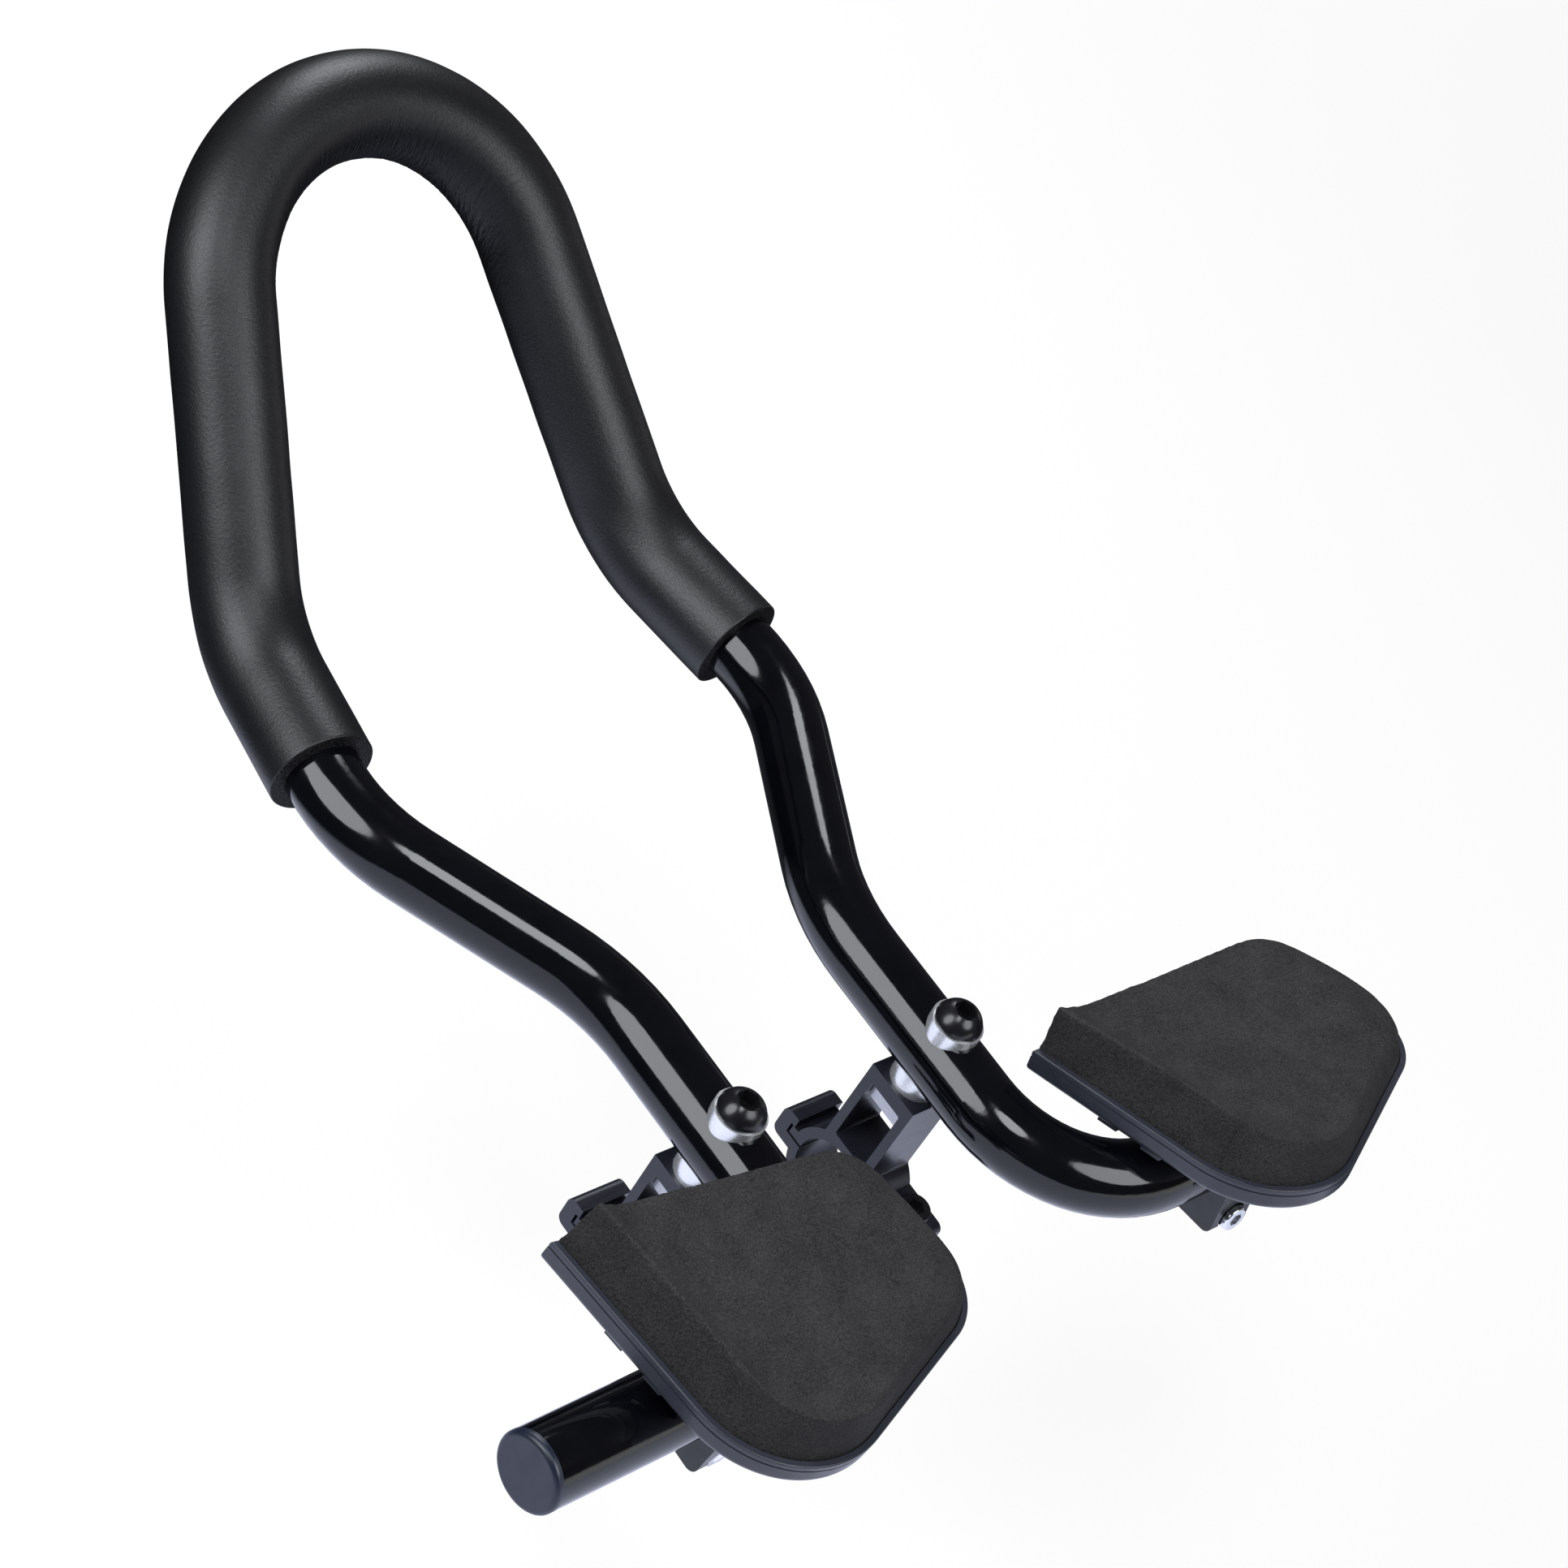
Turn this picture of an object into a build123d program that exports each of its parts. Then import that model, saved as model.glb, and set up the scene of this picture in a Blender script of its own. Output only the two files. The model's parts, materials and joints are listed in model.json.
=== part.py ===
from build123d import *
from math import radians, sin, tan
import os

# Aero handlebar extension: one bent tube with a foam grip loop, two hook clamps and two armrests.
# Millimetres. X is to the rider's right, Y is forward and Z is up.
# The origin is on the axis of the handlebar that the clamps close on, midway between them.

# Bent tube
tube_od = 22.2
tube_wall = 1.6
bar_height = 61.0
leg_x = 42.0
tail_end_x = 156.4
tail_y = -59.6
tail_back = 2.2
tail_rise = 4.2
waist_y = 52.0
shoulder_x = 81.5
shoulder_y = 125.1
wrist_x = 72.2
wrist_y = 192.2
loop_x = 48.8
loop_y = 301.8
loop_rise = 87.3
tail_bend = 41.0
waist_bend = 70.0
shoulder_bend = 56.0
wrist_bend = 52.0
loop_bend = 57.0

# Foam grip
foam_od = 31.0
foam_fit = 0.05
foam_lead = 30.0
foam_edge = 0.8

# End caps
cap_flange = 2.4
cap_plug = 14.0
cap_fit = 0.1
cap_round = 1.5

# Handlebar clamps
bore_d = 26.0
ring_wall = 3.5
clamp_width = 18.0
jaw_gap = 0.8
riser_depth = 19.2
riser_wall = 3.1
riser_roof = 5.2
riser_floor = 3.0
hollow_round = 0.8
riser_blend = 1.5
tongue_reach = 18.6
tongue_thick = 3.0
hook_fit = 0.1
hook_gap = 0.9
hook_wall = 4.4
hook_lip = 3.2
hook_lip_reach = 1.6
hook_base = 4.0
hook_round = 2.6
lug_back = 30.5
lug_thick = 8.1
lug_round = 2.5
jaw_bolt_y = -23.3

# Bolt stack through the tube
bar_bolt_d = 8.0
bar_head_d = 14.5
bar_head_rim = 0.6
bar_dome_h = 6.2
bar_head_h = 5.3
bar_socket = 6.0
bar_socket_depth = 4.2
bolt_clearance = 0.4
ring_od = 15.8
top_ring_h = 2.4
saddle_h = 3.6
saddle_fit = 0.02
nut_block_x = 13.0
nut_block_h = 6.5
nut_block_fit = 0.15
bolt_tail = 1.5
screw_head_round = 0.6
thread_fit = 0.0

# Jaw bolts at the rear of the clamps
jaw_bolt_d = 6.0
jaw_head_d = 10.0
jaw_head_h = 6.0
jaw_socket = 5.0
jaw_socket_depth = 3.0
jaw_nut_flats = 10.0
jaw_nut_h = 5.0

# Armrest brackets on the tails
bracket_width = 15.0
bracket_wall = 3.4
bracket_fit = 0.05
bracket_slit = 2.4
bracket_foot = 9.4
bracket_cheek = 2.9
bracket_round = 3.0
deck_rise = 4.85
deck_thick = 4.1
deck_back = 14.0
deck_reach = 22.0
deck_half = 13.0
deck_round = 4.0
deck_hole_x = -2.85
deck_hole_pitch = 7.1
pinch_d = 5.0
pinch_drop = 4.4
pinch_head_d = 8.5
pinch_head_h = 5.0
pinch_recess = 3.0
pinch_recess_fit = 0.6
pinch_socket = 4.0
pinch_socket_depth = 2.5
pinch_nut_flats = 8.0
pinch_nut_h = 4.0

# Armrests as set on the tails: distance from the tail's corner, pitch about the tail, yaw about the cup screw
left_bracket_along = 50.3
right_bracket_along = 62.1
left_pitch_angle = 2.8
right_pitch_angle = -10.6
left_yaw_angle = -6.7
right_yaw_angle = 0.4

# Armrest cups and pads, laid out from the cup screw
cup_front_left = (-46.4, 38.5)
cup_front_right = (56.4, 38.5)
cup_rear_right = (70.3, -9.6)
cup_rear_left = (-22.3, -52.7)
front_right_round = 20.0
rear_right_round = 20.0
rear_left_round = 33.0
pad_flare = 3.6
pad_height = 20.5
pad_fall = 2.2
cup_floor = 3.5
cup_height = 8.0
cup_lip = 2.0
cup_round = 2.4
cup_edge = 0.5
bead_height = 1.7
bead_groove = 0.5
bead_depth = 0.35
pad_fit = 0.15
rib_width = 6.0
rib_drop = 1.6
rib_length = 20.0
rib_front_y = 12.5
rib_pitch = 14.0
cup_screw_d = 5.0
cup_screw_head_d = 10.4
cup_screw_head_h = 2.7
cup_screw_socket = 3.0
cup_screw_socket_depth = 1.8

# Sizes that follow from the ones above
tube_r = tube_od / 2
bore_r = bore_d / 2
ring_r = bore_r + ring_wall
riser_top = bar_height - tube_r - saddle_h
loop_z = bar_height + loop_rise
bar_bore_r = (bar_bolt_d + bolt_clearance) / 2
jaw_bore_r = (jaw_bolt_d + bolt_clearance) / 2
pinch_bore_r = (pinch_d + bolt_clearance) / 2
cup_bore_r = (cup_screw_d + bolt_clearance) / 2
lug_half = tube_r + bracket_cheek
lug_drop = tube_r + bracket_foot
deck_top = tube_r + bracket_fit + deck_rise
pinch_z = -(tube_r + pinch_drop)
tail_end = Vector(tail_end_x, tail_y - tail_back, bar_height + tail_rise)
tail_corner = Vector(leg_x, tail_y, bar_height)
sides = {"left": -1, "right": 1}


def bent_path(corners, radii):
    """Straight runs joined by tangent bends, one radius for each inner corner."""
    edges = []
    start = Vector(*corners[0])
    for before, corner, after, radius in zip(corners, corners[1:], corners[2:], radii):
        corner = Vector(*corner)
        back = (Vector(*before) - corner).normalized()
        ahead = (Vector(*after) - corner).normalized()
        half = radians(back.get_angle(ahead)) / 2
        setback = radius / tan(half)
        bend_start = corner + back * setback
        bend_end = corner + ahead * setback
        bend_middle = corner + (back + ahead).normalized() * (radius / sin(half) - radius)
        edges.append(Edge.make_line(start, bend_start))
        edges.append(Edge.make_three_point_arc(bend_start, bend_middle, bend_end))
        start = bend_end
    edges.append(Edge.make_line(start, Vector(*corners[-1])))
    return Wire(edges)


def rod(path, radius):
    """A round bar along the path."""
    section = Plane(origin=path @ 0, z_dir=path % 0) * Circle(radius)
    return sweep(section, path=path)


def mirrored(point, sign):
    """A point of the right half, or the same point of the left half."""
    return Vector(sign * point.X, point.Y, point.Z)


def tail_place(sign, along, pitch):
    """A frame on a tail's axis, with X along the tail towards the right and Z up before the pitch."""
    corner = mirrored(tail_corner, sign)
    outward = (mirrored(tail_end, sign) - corner).normalized()
    x_dir = outward * sign
    z_dir = x_dir.cross(Vector(0, 1, 0) - x_dir * x_dir.Y)
    return Plane(origin=corner + outward * along, x_dir=x_dir, z_dir=z_dir).location * Rot(pitch, 0, 0)


def rounded(points, radii):
    """A closed outline with its own radius at each corner, or none where it is zero."""
    face = make_face(Polyline(*points, close=True))
    for point, radius in zip(points, radii):
        if radius:
            face = fillet(face.vertices().sort_by_distance(point)[0], radius)
    return face


def inset(corners, shifts):
    """Corners of an outline after each side moves inwards; side k runs from corner k to the next."""
    lines = []
    for corner, following, shift in zip(corners, corners[1:] + corners[:1], shifts):
        along = (Vector(*following) - Vector(*corner)).normalized()
        lines.append((Vector(*corner) + Vector(along.Y, -along.X) * shift, along))
    moved = []
    for (start, along), (other, across) in zip(lines[-1:] + lines[:-1], lines):
        reach = (other - start).cross(across).Z / along.cross(across).Z
        crossing = start + along * reach
        moved.append((crossing.X, crossing.Y))
    return moved


def block(y_min, y_max, z_min, z_max):
    """A rectangle in a clamp's cross-section, from its edges."""
    return Pos((y_min + y_max) / 2, (z_min + z_max) / 2) * Rectangle(y_max - y_min, z_max - z_min)


def post(radius, z_min, z_max):
    """An upright cylinder between two heights."""
    return Pos(0, 0, z_min) * Cylinder(radius, z_max - z_min, align=(Align.CENTER, Align.CENTER, Align.MIN))


def hexagon(flats, z_min, z_max):
    """An upright hexagonal prism between two heights."""
    return Pos(0, 0, z_min) * extrude(RegularPolygon(flats / 2, 6, major_radius=False), z_max - z_min)


def cap_screw(diameter, length, head_d, head_h, socket, socket_depth):
    """Socket head screw: the head's seat is at the origin and the shank runs down."""
    head = post(head_d / 2, 0, head_h)
    head = fillet(head.edges().sort_by(Axis.Z)[-1], screw_head_round)
    screw = head + post(diameter / 2, -length, 0)
    return screw - hexagon(socket, head_h - socket_depth, head_h)


def save(name, shape):
    """One file for each node."""
    shape.label = name
    export_step(shape, f"parts/{name}.step")


os.makedirs("parts", exist_ok=True)

# Bent tube, from the left tail round the loop to the right tail
half_corners = [
    tuple(tail_end),
    tuple(tail_corner),
    (leg_x, waist_y, bar_height),
    (shoulder_x, shoulder_y, bar_height),
    (wrist_x, wrist_y, bar_height),
    (loop_x, loop_y, loop_z),
]
half_bends = [tail_bend, waist_bend, shoulder_bend, wrist_bend, loop_bend]
left_corners = [(-x, y, z) for x, y, z in half_corners]
bar_path = bent_path(left_corners + half_corners[::-1], half_bends + half_bends[::-1])
bar_tube = rod(bar_path, tube_r) - rod(bar_path, tube_r - tube_wall)
for sign in sides.values():
    bar_tube -= Pos(sign * leg_x, 0, bar_height) * post(bar_bore_r, -tube_od, tube_od)
save("bar_tube", bar_tube)

# Foam grip, slid over the loop and past the wrist bends
shoulder = Vector(shoulder_x, shoulder_y, bar_height)
wrist = Vector(wrist_x, wrist_y, bar_height)
loop_corner = Vector(loop_x, loop_y, loop_z)
wrist_angle = (shoulder - wrist).get_angle(loop_corner - wrist)
wrist_setback = wrist_bend / tan(radians(wrist_angle) / 2)
foam_end = wrist + (shoulder - wrist).normalized() * (wrist_setback + foam_lead)
foam_half = [tuple(foam_end), tuple(wrist), tuple(loop_corner)]
foam_corners = [(-x, y, z) for x, y, z in foam_half] + foam_half[::-1]
foam_path = bent_path(foam_corners, [wrist_bend, loop_bend, loop_bend, wrist_bend])
foam_outer = rod(foam_path, foam_od / 2)
foam_ends = foam_outer.faces().filter_by(GeomType.PLANE)
foam_outer = fillet(foam_ends.edges(), foam_edge)
foam_grip = foam_outer - rod(foam_path, tube_r + foam_fit)
save("foam_grip", foam_grip)

# End caps, pushed into the tails
cap = post(tube_r, 0, cap_flange)
cap = fillet(cap.edges().sort_by(Axis.Z)[-1], cap_round)
cap += post(tube_r - tube_wall - cap_fit, -cap_plug, 0)
for side, sign in sides.items():
    mouth = mirrored(tail_end, sign)
    save(f"{side}_end_cap", Plane(origin=mouth, z_dir=mouth - mirrored(tail_corner, sign)) * cap)

# Clamp cross-sections, drawn in the plane across the handlebar
parting = jaw_gap / 2
riser_half = riser_depth / 2
hollow_bottom = bore_r + riser_floor
hollow_top = riser_top - riser_roof
hollow_half = riser_half - riser_wall
upper = Circle(ring_r) + block(-riser_half, riser_half, 0, riser_top)
upper = fillet(upper.vertices().group_by(Axis.Y)[-2], riser_blend)
upper += rounded([(-lug_back, 0), (0, 0), (0, parting + lug_thick), (-lug_back, parting + lug_thick)],
                 (0, 0, 0, lug_round))
upper += block(0, tongue_reach, 0, parting + tongue_thick)
upper -= block(-lug_back, ring_r + tongue_reach, -ring_r, parting)
upper -= Circle(bore_r)
hollow = block(-hollow_half, hollow_half, hollow_bottom, hollow_top)
upper -= fillet(hollow.vertices(), hollow_round)

lip_low = parting + tongue_thick + hook_fit
lip_high = lip_low + hook_lip
slot_front = tongue_reach + hook_gap
hook_front = slot_front + hook_wall
hook_low = -parting - hook_base
hook = block(bore_r, hook_front, hook_low, lip_high)
hook = fillet(hook.vertices().group_by(Axis.X)[-1], hook_round)
hook -= block(0, slot_front, -parting, lip_low)
hook -= block(0, slot_front - hook_lip_reach, -parting, lip_high)
lower = Circle(ring_r) - block(-ring_r, ring_r, -parting, ring_r)
lower += block(-lug_back, 0, -parting - lug_thick, -parting)
lower = fillet(lower.vertices().group_by(Axis.X)[0].sort_by(Axis.Y)[0], lug_round)
lower += hook
lower -= Circle(bore_r)

upper_jaw = extrude(Plane.YZ * upper, clamp_width / 2, both=True)
lower_jaw = extrude(Plane.YZ * lower, clamp_width / 2, both=True)
jaw_hole = Pos(0, jaw_bolt_y, 0) * post(jaw_bore_r, -ring_r, ring_r)
upper_jaw -= jaw_hole
lower_jaw -= jaw_hole
upper_jaw -= post(bar_bore_r, hollow_top, riser_top)

# Fasteners of one clamp
shell = Pos(0, 0, bar_height) * Rot(90, 0, 0) * Cylinder(tube_r + saddle_fit, 2 * ring_od)
bolt_bore = post(bar_bore_r, 0, 2 * bar_height)
top_seat = bar_height + tube_r + top_ring_h
bolt_ring = post(ring_od / 2, bar_height, top_seat) - shell - bolt_bore
saddle_ring = post(ring_od / 2, riser_top, bar_height) - shell - bolt_bore
nut_low = hollow_top - nut_block_h
nut_block = Pos(0, 0, nut_low) * Box(nut_block_x, 2 * (hollow_half - nut_block_fit), nut_block_h,
                                    align=(Align.CENTER, Align.CENTER, Align.MIN))
nut_block = fillet(nut_block.edges().filter_by(Axis.X), hollow_round)
nut_block -= post(bar_bolt_d / 2 + thread_fit, nut_low, hollow_top)

dome_rise = bar_dome_h - bar_head_rim
dome_r = ((bar_head_d / 2) ** 2 + dome_rise ** 2) / (2 * dome_rise)
bar_head = post(bar_head_d / 2, 0, bar_head_h) & Pos(0, 0, bar_dome_h - dome_r) * Sphere(dome_r)
bar_bolt = bar_head + post(bar_bolt_d / 2, nut_low - bolt_tail - top_seat, 0)
bar_bolt -= hexagon(bar_socket, bar_head_h - bar_socket_depth, bar_head_h)
bar_bolt = Pos(0, 0, top_seat) * bar_bolt

jaw_grip = 2 * (parting + lug_thick)
jaw_bolt = Pos(0, jaw_bolt_y, parting + lug_thick) * cap_screw(
    jaw_bolt_d, jaw_grip + jaw_nut_h + bolt_tail, jaw_head_d, jaw_head_h, jaw_socket, jaw_socket_depth)
jaw_nut_top = -parting - lug_thick
jaw_nut_low = jaw_nut_top - jaw_nut_h
jaw_nut = hexagon(jaw_nut_flats, jaw_nut_low, jaw_nut_top)
jaw_nut -= post(jaw_bolt_d / 2 + thread_fit, jaw_nut_low, jaw_nut_top)
jaw_nut = Pos(0, jaw_bolt_y, 0) * jaw_nut

clamp_nodes = {
    "upper_jaw": upper_jaw,
    "lower_jaw": lower_jaw,
    "bolt_ring": bolt_ring,
    "saddle_ring": saddle_ring,
    "nut_block": nut_block,
    "bar_bolt": bar_bolt,
    "jaw_bolt": jaw_bolt,
    "jaw_nut": jaw_nut,
}
for side, sign in sides.items():
    for name, shape in clamp_nodes.items():
        save(f"{side}_{name}", Pos(sign * leg_x, 0, 0) * shape)

# Armrest bracket: a split clamp round the tail with a deck on top, drawn about the tail axis
bracket_r = tube_r + bracket_fit + bracket_wall
section = Circle(bracket_r)
section += rounded([(-lug_half, -lug_drop), (lug_half, -lug_drop), (lug_half, 0), (-lug_half, 0)],
                   (bracket_round, bracket_round, 0, 0))
section += block(-deck_half, deck_half, 0, deck_top)
section -= Circle(tube_r + bracket_fit)
section -= block(-bracket_slit / 2, bracket_slit / 2, -lug_drop, 0)
bracket = extrude(Plane.YZ * section, bracket_width / 2, both=True)
deck = Pos((deck_reach - deck_back) / 2, 0) * RectangleRounded(
    deck_reach + deck_back, 2 * deck_half, deck_round)
bracket += Pos(0, 0, deck_top - deck_thick) * extrude(deck, deck_thick)
pinch_axis = Pos(0, 0, pinch_z) * Rot(90, 0, 0)
pinch_seat = lug_half - pinch_recess
bracket -= pinch_axis * post(pinch_bore_r, -lug_half, lug_half)
bracket -= pinch_axis * post(pinch_head_d / 2 + pinch_recess_fit, pinch_seat, lug_half)
nut_seat = lug_half - pinch_nut_h
bracket -= pinch_axis * hexagon(pinch_nut_flats + bolt_clearance, -lug_half, -nut_seat)
for step in (-1, 0, 1, 2):
    hole = post(cup_screw_d / 2 + thread_fit, deck_top - deck_thick, deck_top)
    bracket -= Pos(deck_hole_x + step * deck_hole_pitch, 0, 0) * hole

bracket_screw = pinch_axis * Pos(0, 0, pinch_seat) * cap_screw(
    pinch_d, pinch_seat + lug_half, pinch_head_d, pinch_head_h, pinch_socket, pinch_socket_depth)
bracket_nut = hexagon(pinch_nut_flats, -lug_half, -nut_seat)
bracket_nut -= post(pinch_d / 2 + thread_fit, -lug_half, -nut_seat)
bracket_nut = pinch_axis * bracket_nut

# Armrest cup and pad, drawn about the cup's own screw: the cup is open at its straight front edge
cup_corners = [cup_front_left, cup_front_right, cup_rear_right, cup_rear_left]


def armrest_plan(shift):
    """The armrest's outline with every side but the front moved inwards."""
    corners = inset(cup_corners, (0, shift, shift, shift))
    return rounded(corners, (0, front_right_round, rear_right_round - shift, rear_left_round - shift))


cup_outline = armrest_plan(0)
rim = armrest_plan(cup_lip)
ridge = armrest_plan(cup_lip + pad_flare)
cup = extrude(cup_outline, cup_height)
cup = fillet(cup.faces().sort_by(Axis.Z)[0].edges(), cup_round)
cup = fillet(cup.faces().sort_by(Axis.Z)[-1].edges(), cup_edge)
groove = extrude(cup_outline - armrest_plan(bead_depth), bead_groove)
cup -= Pos(0, 0, cup_height - bead_height - bead_groove) * groove
rib_x = cup_outline.bounding_box().min.X + rib_length / 2
for rib_y in (rib_front_y, rib_front_y - rib_pitch):
    rib = rim & Pos(rib_x, rib_y) * Rectangle(rib_length, rib_width)
    cup += extrude(rib, -rib_drop)
cup -= Pos(0, 0, cup_floor) * extrude(armrest_plan(cup_lip - pad_fit), cup_height)
sink = Pos(0, 0, cup_floor) * Cone(
    cup_screw_d / 2, cup_screw_head_d / 2, cup_screw_head_h, align=(Align.CENTER, Align.CENTER, Align.MAX))
cup -= post(cup_bore_r, 0, cup_floor)
cup -= sink
cup_screw = sink + post(cup_screw_d / 2, -deck_thick, cup_floor - cup_screw_head_h)
cup_screw -= hexagon(cup_screw_socket, cup_floor - cup_screw_socket_depth, cup_floor)

pad = Pos(0, 0, cup_floor) * extrude(rim, cup_height - cup_floor)
pad += loft([Pos(0, 0, cup_height) * rim, Pos(0, 0, pad_height) * ridge], ruled=True)
left_side = Vector(*cup_rear_left) - Vector(*cup_front_left)
across = Vector(*cup_rear_right) - Vector(*cup_front_left)
span = across.cross(left_side).length / left_side.length
dish_r = (span ** 2 + pad_fall ** 2) / (2 * pad_fall)
dish_axis = Vector(*cup_rear_right, pad_height - pad_fall + dish_r)
pad -= Plane(origin=dish_axis, z_dir=left_side) * Cylinder(dish_r, 4 * span)

bracket_nodes = {
    "armrest_bracket": bracket,
    "bracket_screw": bracket_screw,
    "bracket_nut": bracket_nut,
}
cup_nodes = {
    "armrest_cup": cup,
    "cup_screw": cup_screw,
    "armrest_pad": pad,
}
armrest_places = {
    "left": tail_place(sides["left"], left_bracket_along, left_pitch_angle),
    "right": tail_place(sides["right"], right_bracket_along, right_pitch_angle),
}
bracket_turns = {
    "left": Rot(0, 0, 180),
    "right": Rot(0, 0, 0),
}
cup_places = {
    "left": Pos(-deck_hole_x, 0, deck_top) * Rot(0, 0, left_yaw_angle),
    "right": Pos(deck_hole_x, 0, deck_top) * Rot(0, 0, right_yaw_angle),
}
for side, place in armrest_places.items():
    for name, shape in bracket_nodes.items():
        save(f"{side}_{name}", place * bracket_turns[side] * shape)
    for name, shape in cup_nodes.items():
        save(f"{side}_{name}", place * cup_places[side] * shape)
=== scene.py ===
import json
import math

import bpy
from mathutils import Matrix, Vector, noise


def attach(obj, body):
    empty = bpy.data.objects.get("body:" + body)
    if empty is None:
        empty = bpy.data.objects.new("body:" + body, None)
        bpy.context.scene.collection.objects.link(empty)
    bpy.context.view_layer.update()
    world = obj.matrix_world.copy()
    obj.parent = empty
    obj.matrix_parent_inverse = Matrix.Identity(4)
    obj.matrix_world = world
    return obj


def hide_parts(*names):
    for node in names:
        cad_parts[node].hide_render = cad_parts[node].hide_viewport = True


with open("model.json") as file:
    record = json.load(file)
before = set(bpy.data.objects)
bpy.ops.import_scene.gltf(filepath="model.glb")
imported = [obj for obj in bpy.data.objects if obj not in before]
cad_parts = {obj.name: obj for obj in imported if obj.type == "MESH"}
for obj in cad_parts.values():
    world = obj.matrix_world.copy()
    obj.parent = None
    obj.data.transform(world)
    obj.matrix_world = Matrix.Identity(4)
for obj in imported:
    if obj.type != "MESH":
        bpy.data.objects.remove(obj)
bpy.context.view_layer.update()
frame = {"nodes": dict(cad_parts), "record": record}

nodes = frame["nodes"]
MM = 0.001
WHITE = (1.0, 1.0, 1.0, 1.0)

# Camera: place and turn follow the photo, the frame is square
SENSOR = 36.0
LENS = 93.34
CAMERA_AT = Vector((-0.7210, -0.3146, 0.8520))
CAMERA_RIGHT = Vector((0.7115, -0.5756, 0.4030))
CAMERA_UP = Vector((0.2452, 0.7408, 0.6254))

# Armrests in millimetres and degrees: the right tail's axis, each bracket's place and tilt, the cup's turn
TAIL_CORNER = Vector((42.0, -59.6, 61.0))
TAIL_END = Vector((156.4, -61.8, 65.2))
SIGN = {"left": -1, "right": 1}
ALONG = {"left": 50.3, "right": 62.1}
PITCH = {"left": 2.8, "right": -10.6}
YAW = {"left": -6.7, "right": 0.4}
SCREW_X = {"left": 2.85, "right": -2.85}
DECK_TOP = 16.0

# Armrest pads in millimetres: the levels and the plan of the solid, in the cup's frame
CUP_HEIGHT = 8.0
PAD_HEIGHT = 20.5
RIDGE_INSET = 5.6
FRONT_LEFT = Vector((-46.4, 38.5))
FRONT_RIGHT = Vector((56.4, 38.5))
REAR_RIGHT = Vector((70.3, -9.6))
REAR_LEFT = Vector((-22.3, -52.7))
REAR_LEFT_ROUND = 33.0
REAR_RIGHT_ROUND = 20.0

# Foam grip in metres: the middle of the loop, where its front bends begin, and the line ahead of its cut ends
LOOP_MIDDLE = Vector((0.0, 0.262, 0.118))
LOOP_FRONT_Y = 0.250
CUT_ENDS_Y = 0.170
CUT_ENDS_FADE = 0.010

# Foam grip in millimetres: corners and bends of the tube under its right half, and its own section
SHOULDER = Vector((81.5, 125.1, 61.0))
WRIST = Vector((72.2, 192.2, 61.0))
LOOP_CORNER = Vector((48.8, 301.8, 148.3))
WRIST_BEND = 52.0
LOOP_BEND = 57.0
FOAM_LEAD = 30.0
FOAM_RADIUS = 15.5
FOAM_BORE = 11.15
FOAM_EDGE = 0.6


def principled(name):
    """A new material with its shader, tree and an object-space coordinate."""
    mat = bpy.data.materials.new(name)
    mat.use_nodes = True
    tree = mat.node_tree
    shader = tree.nodes["Principled BSDF"]
    place = tree.nodes.new("ShaderNodeTexCoord")
    return mat, tree, shader, place.outputs["Object"]


def stretched(tree, coords, scale):
    """The coordinate scaled per axis, for drawn or brushed grain."""
    mapping = tree.nodes.new("ShaderNodeMapping")
    mapping.inputs["Scale"].default_value = scale
    tree.links.new(coords, mapping.inputs["Vector"])
    return mapping.outputs["Vector"]


def grain(tree, coords, scale, detail=4.0, rough=0.6):
    """Noise value from 0 to 1 at a scale in features for each metre."""
    node = tree.nodes.new("ShaderNodeTexNoise")
    node.inputs["Scale"].default_value = scale
    node.inputs["Detail"].default_value = detail
    node.inputs["Roughness"].default_value = rough
    tree.links.new(coords, node.inputs["Vector"])
    return node.outputs["Fac"]


def spread(tree, value, low, high, low_at=0.35, high_at=0.65):
    """The value mapped from its usual range to a low and a high number."""
    node = tree.nodes.new("ShaderNodeMapRange")
    node.inputs["From Min"].default_value = low_at
    node.inputs["From Max"].default_value = high_at
    node.inputs["To Min"].default_value = low
    node.inputs["To Max"].default_value = high
    tree.links.new(value, node.inputs["Value"])
    return node.outputs["Result"]


def tint(tree, value, dark, light, low_at=0.3, high_at=0.7):
    """A colour between dark and light by the value."""
    node = tree.nodes.new("ShaderNodeValToRGB")
    node.color_ramp.elements[0].position = low_at
    node.color_ramp.elements[0].color = (*dark, 1.0)
    node.color_ramp.elements[1].position = high_at
    node.color_ramp.elements[1].color = (*light, 1.0)
    tree.links.new(value, node.inputs["Fac"])
    return node.outputs["Color"]


def number_step(tree, operation, first, second):
    """A number operation on two linked values."""
    node = tree.nodes.new("ShaderNodeMath")
    node.operation = operation
    tree.links.new(first, node.inputs[0])
    tree.links.new(second, node.inputs[1])
    return node.outputs["Value"]


def product(tree, first, second):
    """Two values multiplied."""
    return number_step(tree, "MULTIPLY", first, second)


def larger(tree, first, second):
    """The larger of two values."""
    return number_step(tree, "MAXIMUM", first, second)


def vector_step(tree, operation, first, second=None):
    """A vector operation on a linked vector and a second one."""
    node = tree.nodes.new("ShaderNodeVectorMath")
    node.operation = operation
    tree.links.new(first, node.inputs[0])
    if isinstance(second, Vector):
        node.inputs[1].default_value = second
    elif second is not None:
        tree.links.new(second, node.inputs[1])
    return node


def parts_of(tree, vector):
    """The X, Y and Z outputs of a linked vector."""
    split = tree.nodes.new("ShaderNodeSeparateXYZ")
    tree.links.new(vector, split.inputs["Vector"])
    return split.outputs


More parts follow.
